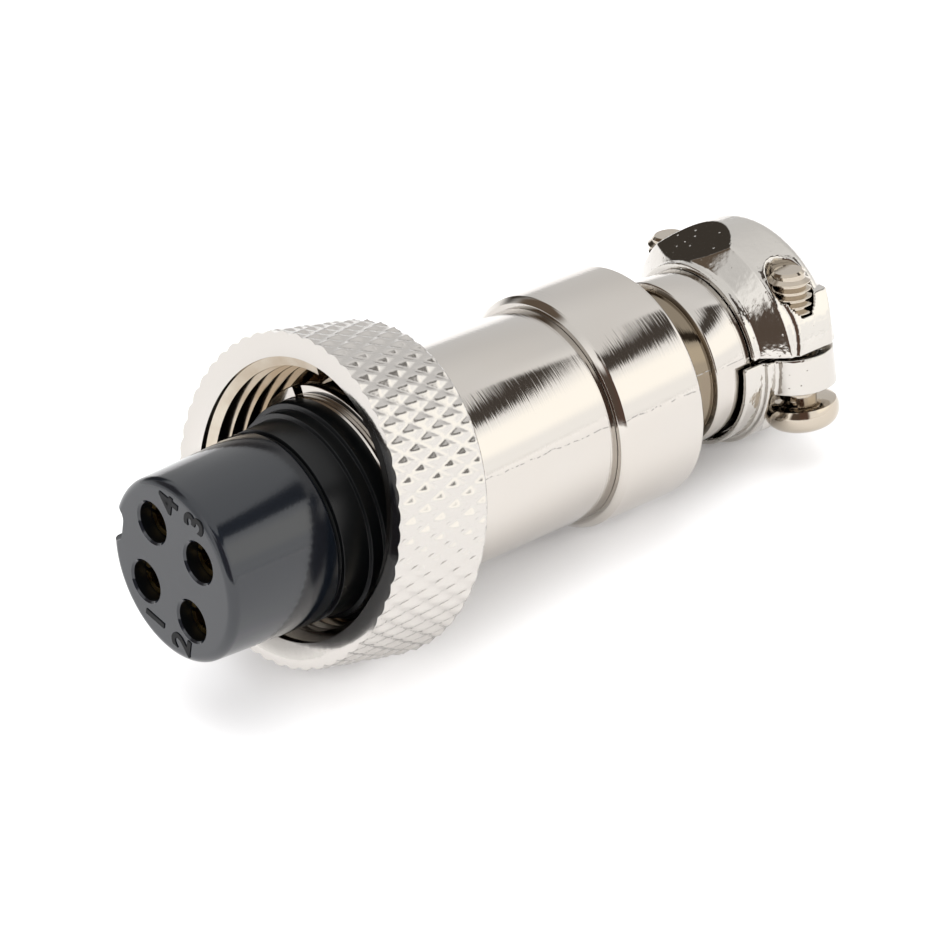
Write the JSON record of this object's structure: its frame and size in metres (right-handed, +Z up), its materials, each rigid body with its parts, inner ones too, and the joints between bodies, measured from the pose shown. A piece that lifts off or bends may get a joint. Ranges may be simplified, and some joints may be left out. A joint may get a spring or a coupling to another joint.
{
  "type": "circular cable plug",
  "caption": "Circular cable plug with socket contacts, a knurled coupling nut that hangs askew, a turned back shell and a two-jaw cable clamp held by screws.",
  "frame": {"origin": "The centre of the insert's mating face, on the plug's axis.", "axes": "+X runs out of the mating face along the plug's axis, +Z is up as the plug lies, and +Y completes a right-handed frame."},
  "size_m": [0.0441, 0.019, 0.0198],
  "materials": {
    "insert_moulding": "moulded black, satin",
    "contact_brass": "turned, plated",
    "nickel_plate": "turned and nickel plated",
    "die_cast_plate": "die-cast and nickel plated",
    "screw_plate": "nickel plated"
  },
  "bodies": {
    "sleeve": {"front_sleeve": "nickel_plate", "insert": "insert_moulding", "retaining_ring": "nickel_plate", "socket_contact_1": "contact_brass", "socket_contact_2": "contact_brass", "socket_contact_3": "contact_brass", "socket_contact_4": "contact_brass"},
    "coupling_nut": {"coupling_nut": "nickel_plate"},
    "back_shell": {"back_shell": "nickel_plate"},
    "upper_jaw": {"upper_clamp_jaw": "die_cast_plate"},
    "lower_jaw": {"lower_clamp_jaw": "die_cast_plate"},
    "near_screw": {"clamp_screw_near": "screw_plate"},
    "far_screw": {"clamp_screw_far": "screw_plate"}
  },
  "joints": [
    {"name": "coupling_nut_spin", "type": "hinge", "parent": "sleeve", "child": "coupling_nut", "pos_m": [-0.01421, 0, 0], "axis": [0.9732, 0, 0.23], "continuous": true},
    {"name": "back_shell_turn", "type": "hinge", "parent": "sleeve", "child": "back_shell", "pos_m": [-0.02955, 0, 0], "axis": [1, 0, 0], "continuous": true},
    {"name": "clamp_swivel", "type": "hinge", "parent": "back_shell", "child": "upper_jaw", "pos_m": [-0.03895, 0, 0], "axis": [1, 0, 0], "continuous": true},
    {"name": "lower_jaw_slide", "type": "slide", "parent": "upper_jaw", "child": "lower_jaw", "axis": [0, -0.1711, 0.9853], "range_m": [-0.00075, 0.00015]},
    {"name": "near_screw_turn", "type": "hinge", "parent": "upper_jaw", "child": "near_screw", "pos_m": [-0.04185, 0.00512, 0.00089], "axis": [0, -0.1711, 0.9853], "continuous": true},
    {"name": "far_screw_turn", "type": "hinge", "parent": "upper_jaw", "child": "far_screw", "pos_m": [-0.04185, -0.00512, -0.00089], "axis": [0, -0.1711, 0.9853], "continuous": true}
  ]
}
